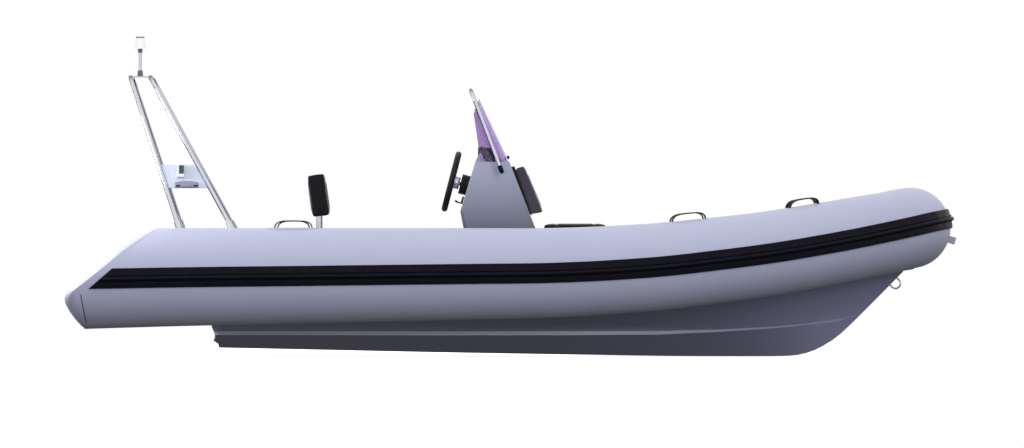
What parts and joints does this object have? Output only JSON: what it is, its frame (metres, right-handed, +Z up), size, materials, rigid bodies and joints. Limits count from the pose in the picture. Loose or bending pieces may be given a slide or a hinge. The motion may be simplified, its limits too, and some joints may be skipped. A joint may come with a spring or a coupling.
{
  "type": "rigid inflatable boat",
  "caption": "Rigid inflatable boat: V hull with an inflatable collar, centre console with windscreen, seats with lockers, stern light arch, no engine.",
  "frame": {"origin": "on the light waterplane, on the centreline, halfway along the overall length", "axes": "+X to the bow, +Y to port, +Z up"},
  "size_m": [4.9971, 2.2002, 1.793],
  "materials": {
    "tube_fabric": "matt coated fabric",
    "black_rubber": "matt",
    "hull_gelcoat": "gloss gelcoat",
    "deck_gelcoat": "satin gelcoat with moulded tread",
    "console_gelcoat": "satin gelcoat",
    "dash_black": "matt grained",
    "cushion_black": "marine vinyl",
    "cushion_grey": "marine vinyl",
    "stainless": "polished stainless steel",
    "white_plate": "satin",
    "grey_plastic": "satin",
    "tinted_acrylic": "tinted acrylic sheet",
    "green_lens": "clear lens",
    "red_lens": "clear lens",
    "white_lens": "clear lens",
    "wheel_grip": "soft grained"
  },
  "bodies": {
    "root": {"arch_front_hoop": "stainless", "arch_rear_hoop": "stainless", "arch_side_plates": "white_plate", "arch_sockets": "stainless", "arch_top_plate": "white_plate", "backrest_pad": "cushion_black", "backrest_posts": "stainless", "bow_deck": "deck_gelcoat", "bow_eye": "stainless", "bow_tow_patch": "tube_fabric", "collar_bow_port": "tube_fabric", "collar_bow_starboard": "tube_fabric", "collar_side_port": "tube_fabric", "collar_side_starboard": "tube_fabric", "console": "console_gelcoat", "console_pad": "cushion_grey", "console_pad_board": "dash_black", "dash_hood": "dash_black", "deck_liner": "deck_gelcoat", "drain_fitting": "grey_plastic", "front_seat_locker": "deck_gelcoat", "handle_1_port": "black_rubber", "handle_1_starboard": "black_rubber", "handle_2_port": "black_rubber", "handle_2_starboard": "black_rubber", "handle_3_port": "black_rubber", "handle_3_starboard": "black_rubber", "handle_patches": "tube_fabric", "helm_bezel": "dash_black", "helm_seat_locker": "deck_gelcoat", "horn_covers": "grey_plastic", "hull": "hull_gelcoat", "light_mast": "grey_plastic", "mast_lamp_cap": "grey_plastic", "mast_lens": "white_lens", "nav_housings": "white_plate", "nav_lens_port": "red_lens", "nav_lens_starboard": "green_lens", "stern_eyes": "stainless", "stern_pod_port": "deck_gelcoat", "stern_pod_starboard": "deck_gelcoat", "strake_bow_port": "black_rubber", "strake_bow_starboard": "black_rubber", "strake_side_port": "black_rubber", "strake_side_starboard": "black_rubber", "tail_cap_port": "tube_fabric", "tail_cap_starboard": "tube_fabric", "transom": "hull_gelcoat", "windscreen": "tinted_acrylic", "windscreen_rail": "stainless"},
    "steering": {"steering_wheel": "wheel_grip"},
    "bow_lid": {"bow_hatch": "deck_gelcoat"},
    "front_lid": {"front_seat_lid": "deck_gelcoat", "front_seat_cushion": "cushion_black"},
    "helm_lid": {"helm_seat_lid": "deck_gelcoat", "helm_seat_cushion": "cushion_black"}
  },
  "joints": [
    {"name": "steering_turn", "type": "hinge", "parent": "root", "child": "steering", "pos_m": [-0.337, 0, 0.754], "axis": [-0.9681, 0, 0.2504], "range_deg": [-540, 540]},
    {"name": "bow_hatch_hinge", "type": "hinge", "parent": "root", "child": "bow_lid", "pos_m": [1.768, 0, 0.3725], "axis": [0, 1, 0], "range_deg": [0, 95]},
    {"name": "front_seat_hinge", "type": "hinge", "parent": "root", "child": "front_lid", "pos_m": [0.553, 0, 0.4425], "axis": [0, 1, 0], "range_deg": [0, 90]},
    {"name": "helm_seat_hinge", "type": "hinge", "parent": "root", "child": "helm_lid", "pos_m": [-0.632, 0, 0.3725], "axis": [0, 1, 0], "range_deg": [0, 90]}
  ]
}
